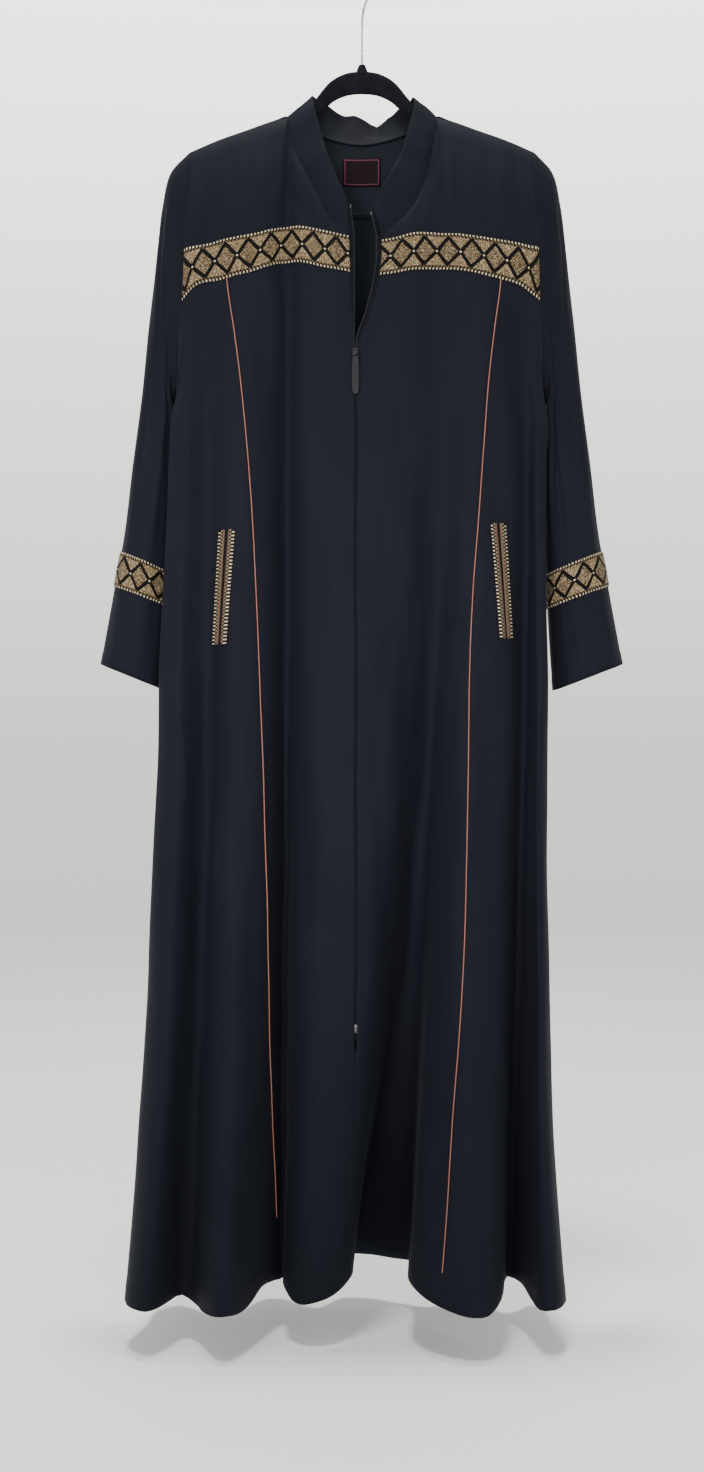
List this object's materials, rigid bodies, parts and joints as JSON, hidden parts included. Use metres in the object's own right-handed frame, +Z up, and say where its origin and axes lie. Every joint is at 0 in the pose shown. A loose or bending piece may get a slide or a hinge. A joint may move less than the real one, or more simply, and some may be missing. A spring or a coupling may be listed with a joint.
{
  "type": "abaya on a hanger",
  "caption": "Floor-length front-zip abaya with a stand collar, woven bands, piped seams and welt pockets, hanging on a flocked hanger.",
  "frame": {"origin": "the highest point inside the hanger's hook, where a rail would touch it", "axes": "+Z up, +X to the wearer's left, the front faces -Y"},
  "size_m": [0.6328, 0.2347, 1.6036],
  "materials": {
    "crepe": "matte crepe",
    "gold_braid": "woven gold and black",
    "copper_piping": "satin",
    "zip_tape": "woven tape",
    "black_metal": "satin black",
    "steel": "polished",
    "flock": "flocked",
    "woven_label": "woven"
  },
  "bodies": {
    "garment": {"back_panel": "crepe", "yoke_right": "crepe", "yoke_left": "crepe", "front_centre_right": "crepe", "front_centre_left": "crepe", "front_side_right": "crepe", "front_side_left": "crepe", "sleeve_right": "crepe", "sleeve_left": "crepe", "cuff_right": "crepe", "cuff_left": "crepe", "collar": "crepe", "chest_band_right": "gold_braid", "chest_band_left": "gold_braid", "sleeve_band_right": "gold_braid", "sleeve_band_left": "gold_braid", "pocket_trim_right_side": "gold_braid", "pocket_trim_right_front": "gold_braid", "pocket_trim_left_front": "gold_braid", "pocket_trim_left_side": "gold_braid", "piping_right": "copper_piping", "piping_left": "copper_piping", "zip_tape_right": "zip_tape", "zip_tape_left": "zip_tape", "zip_slider": "black_metal", "zip_bottom_stop": "steel", "hanger_hook": "steel", "hanger_body": "flock", "neck_label": "woven_label"},
    "zip_pull": {"zip_pull_tab": "black_metal"}
  },
  "joints": [
    {"name": "zip_pull_swing", "type": "hinge", "parent": "garment", "child": "zip_pull", "pos_m": [-0.008, -0.05103, -0.492], "axis": [-1, 0, 0], "range_deg": [0, 160]}
  ]
}
